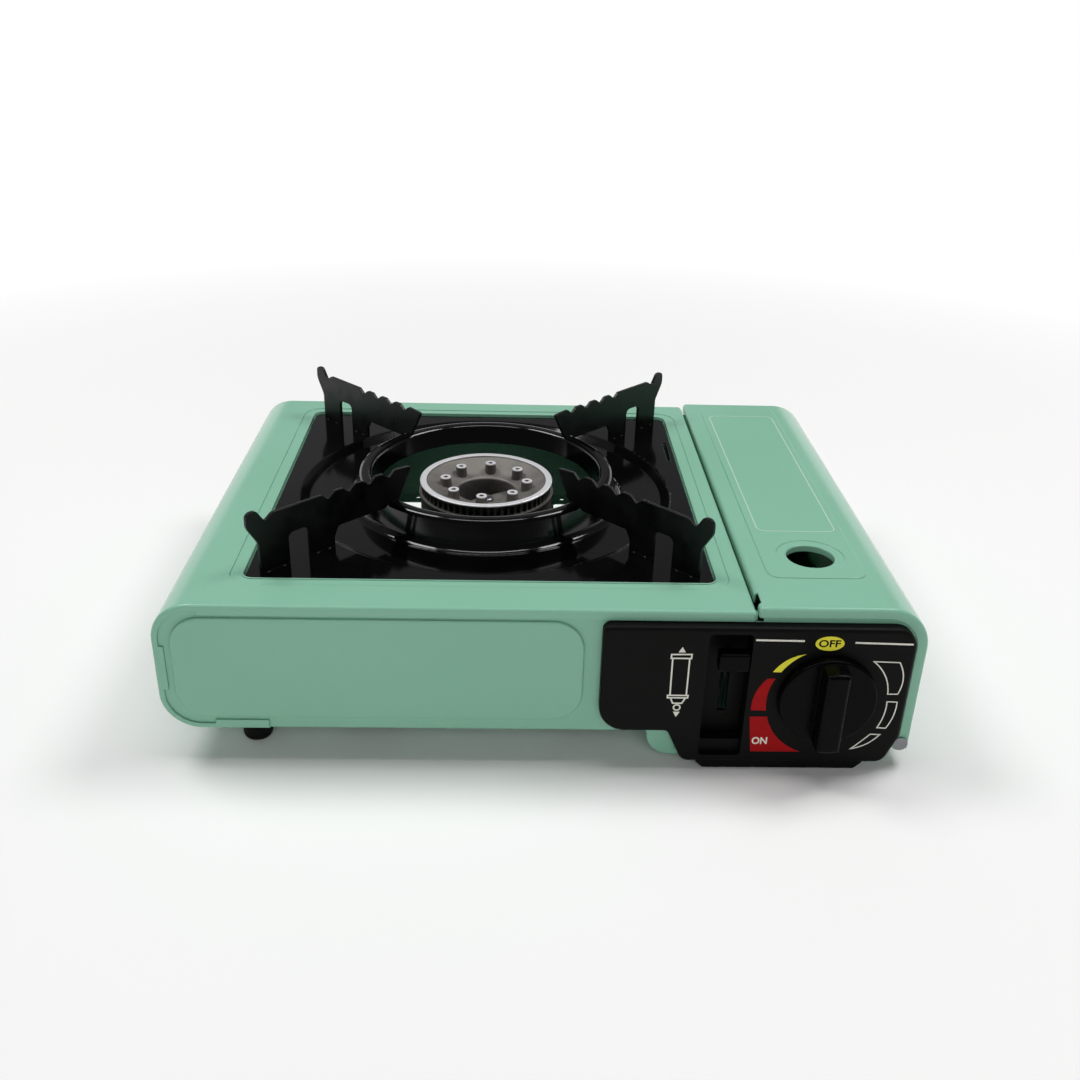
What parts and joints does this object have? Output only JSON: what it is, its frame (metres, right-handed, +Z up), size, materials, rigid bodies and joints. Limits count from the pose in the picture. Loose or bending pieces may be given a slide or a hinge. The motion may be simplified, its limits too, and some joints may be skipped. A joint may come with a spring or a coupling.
{
  "type": "portable gas stove",
  "caption": "Tabletop gas stove with a cartridge bay under a hinged lid, ring burner, lift-out drip pan with notched pan supports, gas knob and cartridge lock lever.",
  "frame": {"origin": "on the table, under the middle of the box round the whole stove", "axes": "+Z up, front with knob and panel towards -Y, cartridge lid on the +X side"},
  "size_m": [0.342, 0.2792, 0.1113],
  "materials": {
    "mint_paint": "gloss enamel paint",
    "black_enamel": "gloss vitreous enamel",
    "support_enamel": "satin enamel",
    "black_plastic": "moulded satin",
    "cast_aluminium": "sand cast, ring machined bright",
    "zinc_steel": "zinc plated",
    "regulator_zinc": "die cast",
    "jet_brass": "turned",
    "rubber": "moulded",
    "ceramic": "glazed ceramic",
    "igniter_plastic": "moulded"
  },
  "bodies": {
    "body": {"base_floor": "mint_paint", "base_screws": "zinc_steel", "burner_bowl": "cast_aluminium", "burner_head": "cast_aluminium", "burner_screw": "zinc_steel", "burner_stand": "zinc_steel", "cap_screws": "zinc_steel", "cartridge_cradle": "zinc_steel", "control_panel": "black_plastic", "divider_wall": "zinc_steel", "electrode_clip": "zinc_steel", "electrode_insulator": "ceramic", "electrode_pin": "zinc_steel", "front_panel": "mint_paint", "gas_jet": "jet_brass", "gas_pipe": "zinc_steel", "igniter_clip": "igniter_plastic", "inlet_seal": "rubber", "left_feet": "rubber", "lever_bracket": "zinc_steel", "lever_pivot_pin": "zinc_steel", "lid_hinge_pins": "zinc_steel", "mixing_tube": "cast_aluminium", "panel_screws": "zinc_steel", "piezo_igniter": "igniter_plastic", "rear_panel": "mint_paint", "regulator_body": "regulator_zinc", "regulator_bracket": "zinc_steel", "regulator_cap": "zinc_steel", "right_feet": "rubber", "spindle_gland": "jet_brass", "top_shell": "mint_paint"},
    "lid": {"cartridge_lid": "mint_paint"},
    "knob": {"control_knob": "black_plastic", "valve_spindle": "jet_brass", "ignition_cam": "igniter_plastic"},
    "plunger": {"igniter_plunger": "igniter_plastic"},
    "lever": {"lock_lever": "zinc_steel", "lever_tab": "black_plastic", "lever_drive_pin": "zinc_steel"},
    "yoke": {"cartridge_yoke": "zinc_steel"},
    "pan": {"drip_pan": "black_enamel", "pan_support_front_left": "support_enamel", "pan_support_front_right": "support_enamel", "pan_support_rear_left": "support_enamel", "pan_support_rear_right": "support_enamel"}
  },
  "joints": [
    {"name": "lid_open", "type": "hinge", "parent": "body", "child": "lid", "pos_m": [0.1668, 0, 0.012], "axis": [0, 1, 0], "range_deg": [0, 90]},
    {"name": "knob_turn", "type": "hinge", "parent": "body", "child": "knob", "pos_m": [0.1272, -0.13, 0.0405], "axis": [0, -1, 0], "range_deg": [0, 130]},
    {"name": "igniter_push", "type": "slide", "parent": "body", "child": "plunger", "axis": [1, 0, 0], "range_m": [0, 0.0036]},
    {"name": "lever_swing", "type": "hinge", "parent": "body", "child": "lever", "pos_m": [0.083, -0.09255, 0.0425], "axis": [1, 0, 0], "range_deg": [0, 56]},
    {"name": "yoke_slide", "type": "slide", "parent": "body", "child": "yoke", "axis": [0, -1, 0], "range_m": [0, 0.0076]},
    {"name": "pan_lift", "type": "slide", "parent": "body", "child": "pan", "axis": [0, 0, 1], "range_m": [0, 0.08]}
  ],
  "couplings": [
    {"joint": "igniter_push", "follows": "knob_turn", "m_per_rad": 0.0015426},
    {"joint": "yoke_slide", "follows": "lever_swing", "m_per_rad": 0.0076853}
  ]
}
